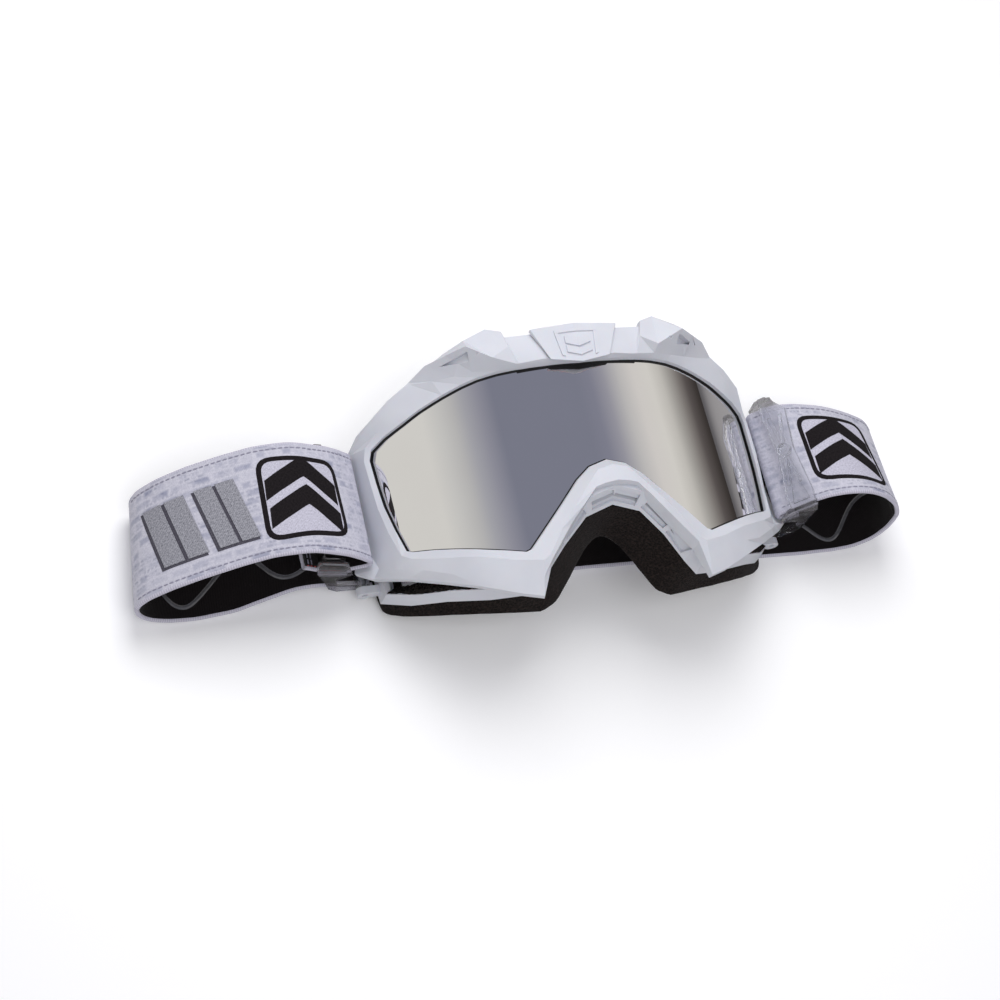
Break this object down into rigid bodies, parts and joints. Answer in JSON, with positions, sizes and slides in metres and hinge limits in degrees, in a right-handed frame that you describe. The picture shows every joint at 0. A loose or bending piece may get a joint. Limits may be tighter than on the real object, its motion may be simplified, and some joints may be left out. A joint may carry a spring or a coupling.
{
  "type": "motorcycle goggles",
  "caption": "Off-road riding goggles with a curved mirrored lens, faceted white frame, face foam, hinged clear outriggers and a wide elastic strap, lying lens up.",
  "frame": {"origin": "on the symmetry plane, on the flat underside of the strap's back stretch, which is the plane the goggles lie on", "axes": "+X across the face, +Y towards the brow, +Z out through the lens"},
  "size_m": [0.3101, 0.1035, 0.069],
  "materials": {
    "frame_white": "satin moulded nylon",
    "mirror_lens": "silver mirror coating",
    "gasket": "matt",
    "foam": "open-cell face foam, fine matt",
    "fleece": "brushed fleece",
    "vent_foam": "coarse reticulated foam",
    "webbing": "woven elastic, printed light outside, black inside",
    "silicone": "clear glossy silicone",
    "clear_plastic": "clear polycarbonate",
    "pin_steel": "drawn",
    "slider_black": "matt"
  },
  "bodies": {
    "frame": {"outer_frame": "frame_white", "brow_plate": "frame_white", "lens": "mirror_lens", "lens_gasket": "gasket", "rear_frame": "frame_white", "hinge_lugs_left": "frame_white", "hinge_lugs_right": "frame_white", "hinge_pin_left": "pin_steel", "hinge_pin_right": "pin_steel", "face_foam": "foam", "fleece_lining": "fleece", "vent_foam_top": "vent_foam", "vent_foam_left": "vent_foam", "vent_foam_right": "vent_foam", "strap_left": "webbing", "strap_right": "webbing", "grip_bead_left": "silicone", "grip_bead_right": "silicone"},
    "outrigger_left": {"outrigger_left": "clear_plastic", "outrigger_boss_left": "clear_plastic", "strap_end_left": "webbing"},
    "outrigger_right": {"outrigger_right": "clear_plastic", "outrigger_boss_right": "clear_plastic", "strap_end_right": "webbing"},
    "slider_left": {"slider_left": "slider_black"},
    "slider_right": {"slider_right": "slider_black"}
  },
  "joints": [
    {"name": "outrigger_left_hinge", "type": "hinge", "parent": "frame", "child": "outrigger_left", "pos_m": [-0.084, 0, 0.006], "axis": [0, 1, 0], "range_deg": [-8, 2]},
    {"name": "outrigger_right_hinge", "type": "hinge", "parent": "frame", "child": "outrigger_right", "pos_m": [0.084, 0, 0.006], "axis": [0, 1, 0], "range_deg": [-2, 24]},
    {"name": "slider_left_slide", "type": "slide", "parent": "frame", "child": "slider_left", "axis": [1, 0, 0], "range_m": [-0.008, 0.008]},
    {"name": "slider_right_slide", "type": "slide", "parent": "frame", "child": "slider_right", "axis": [1, 0, 0], "range_m": [-0.008, 0.008]}
  ]
}
